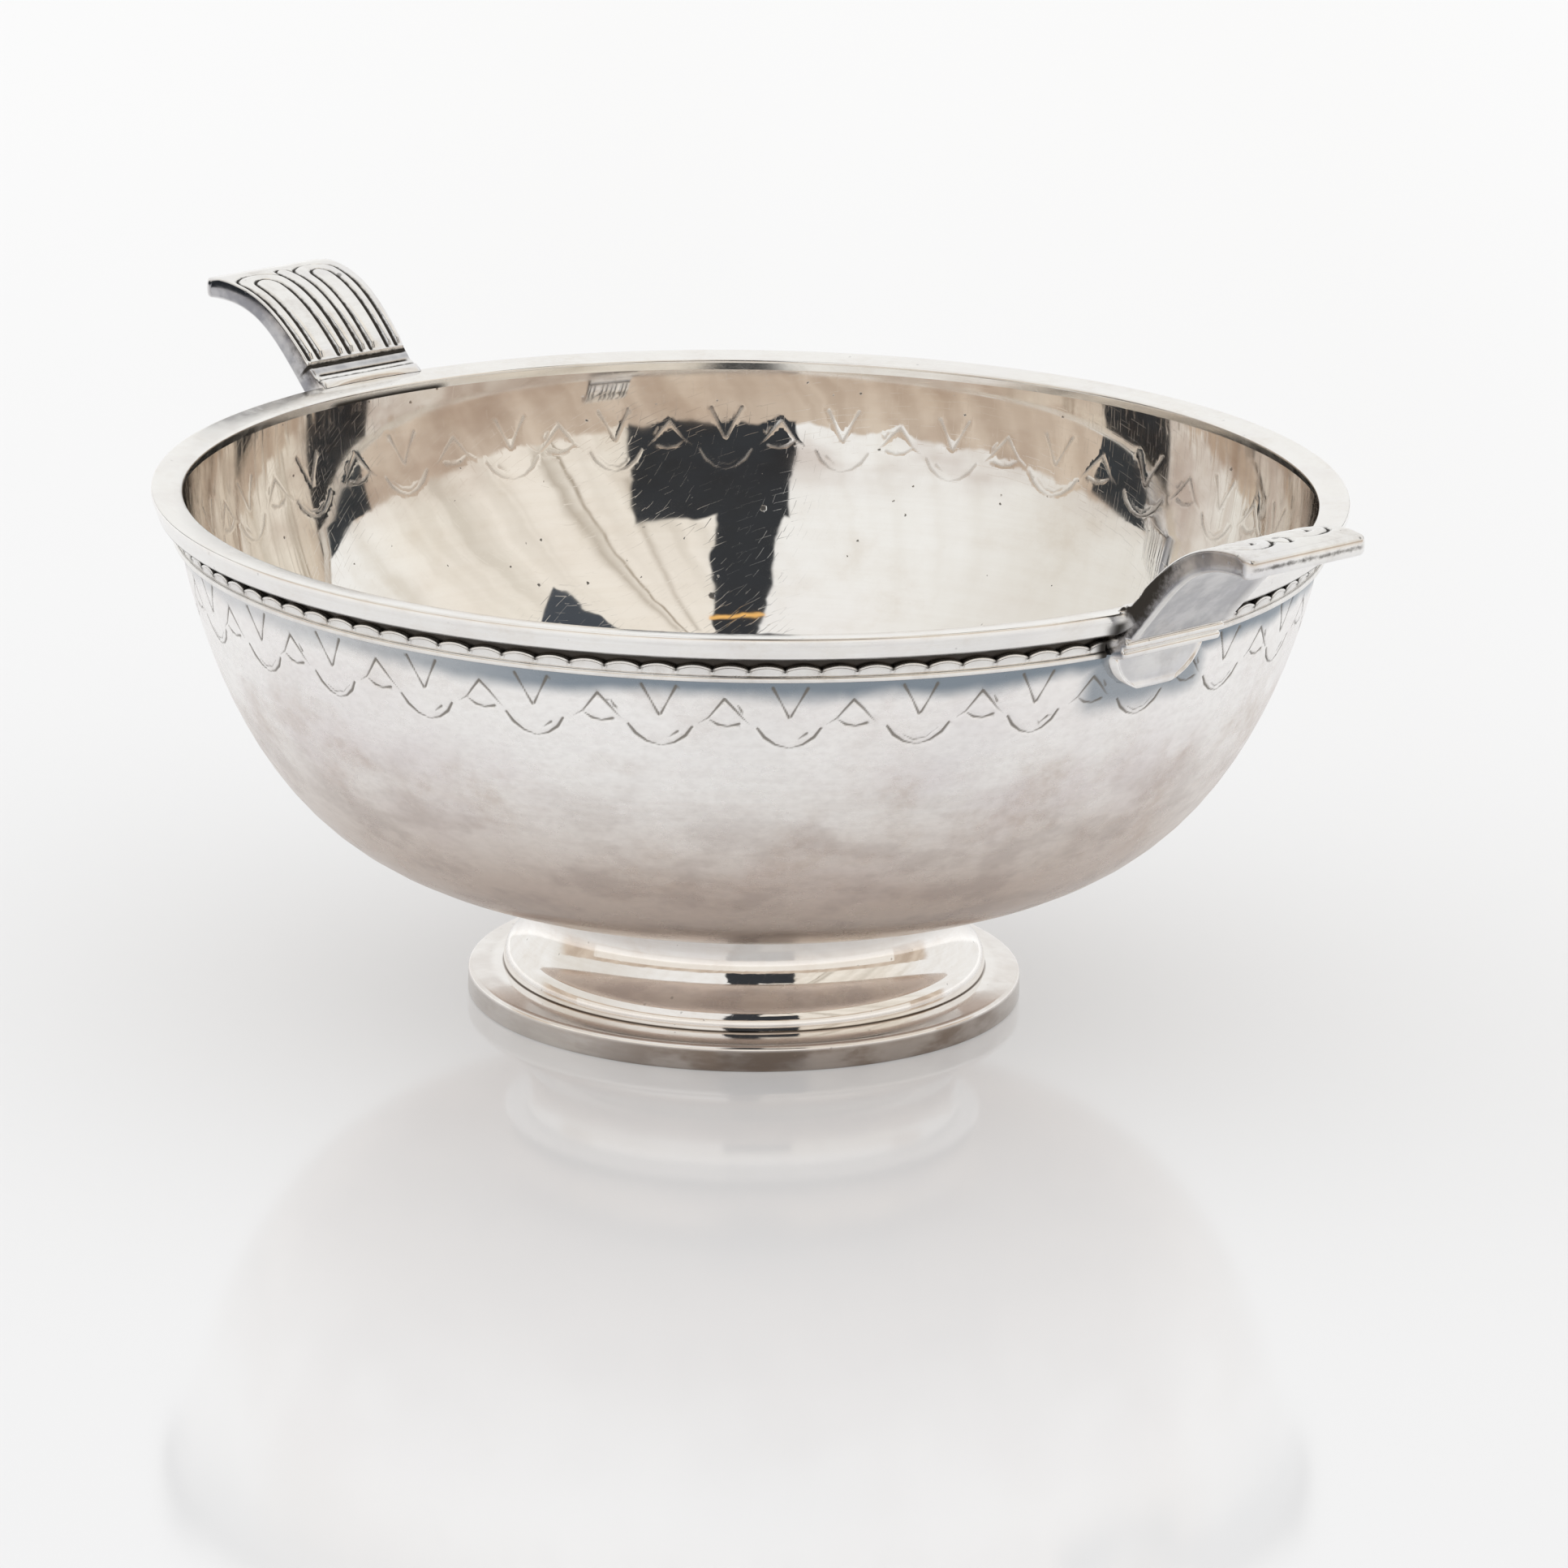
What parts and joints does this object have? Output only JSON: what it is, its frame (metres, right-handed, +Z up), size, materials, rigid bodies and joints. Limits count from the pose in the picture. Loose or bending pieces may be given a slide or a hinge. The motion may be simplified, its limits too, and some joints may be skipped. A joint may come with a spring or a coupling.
{
  "type": "two-handled footed bowl",
  "caption": "Round silver bowl on a spun foot, with a flat rim, wavy and plain wires under it and two upswept thumb-piece handles.",
  "frame": {"origin": "on the table, at the middle of the foot's resting ring", "axes": "+Z up along the bowl's axis, X through the two handles, Y across them"},
  "size_m": [0.2588, 0.2, 0.1033],
  "materials": {
    "bowl_silver": "old silver, softly polished and lightly toned",
    "rim_silver": "silver worn bright by handling",
    "wire_silver": "silver with darkened hollows",
    "handle_silver": "cast silver with darkened grooves",
    "foot_silver": "spun silver, polished"
  },
  "bodies": {
    "root": {"bowl_body": "bowl_silver", "rim_moulding": "rim_silver", "plain_wire_front": "wire_silver", "plain_wire_back": "wire_silver", "wave_wire_front": "wire_silver", "wave_wire_back": "wire_silver", "handle_right": "handle_silver", "handle_left": "handle_silver", "foot_collar": "foot_silver", "foot_cone": "foot_silver", "foot_base_ring": "foot_silver"}
  },
  "joints": []
}
